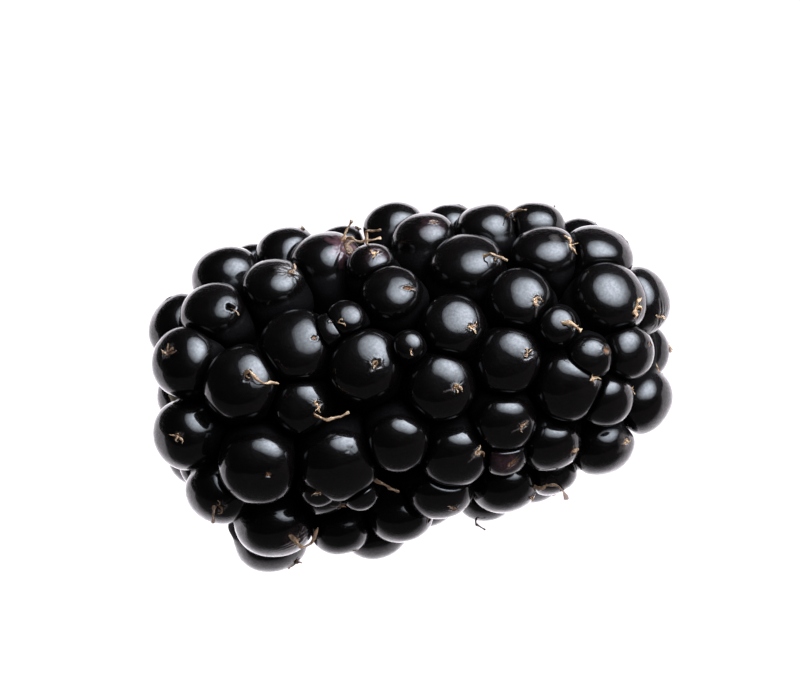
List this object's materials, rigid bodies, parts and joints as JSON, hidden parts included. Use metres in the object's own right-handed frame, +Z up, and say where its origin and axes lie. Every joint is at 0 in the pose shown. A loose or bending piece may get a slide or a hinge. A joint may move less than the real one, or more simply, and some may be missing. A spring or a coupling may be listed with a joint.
{
  "type": "bramble berry",
  "caption": "Ripe bramble berry on its side: a close cluster of glossy black drupelets round a fleshy core, with dry curled styles from the flower and a round scar where the stalk came away.",
  "frame": {"origin": "centre of the fruit's length and width, on the surface that it rests on", "axes": "+X along the fruit's long axis from the picked end to the tip, +Z up, -Y the side that its drupelets were set by hand on"},
  "size_m": [0.0346, 0.0212, 0.0214],
  "materials": {
    "skin": "glossy natural fruit skin, near black with a faint blue-violet cast",
    "dried_style": "matt, dry and papery, tan to orange brown"
  },
  "bodies": {
    "root": {"berry": "skin", "dried_style_1": "dried_style", "dried_style_2": "dried_style", "dried_style_3": "dried_style", "dried_style_4": "dried_style", "dried_style_5": "dried_style", "dried_style_6": "dried_style", "dried_style_7": "dried_style", "dried_style_8": "dried_style", "dried_style_9": "dried_style", "dried_style_10": "dried_style", "dried_style_11": "dried_style", "dried_style_12": "dried_style", "dried_style_13": "dried_style"}
  },
  "joints": []
}
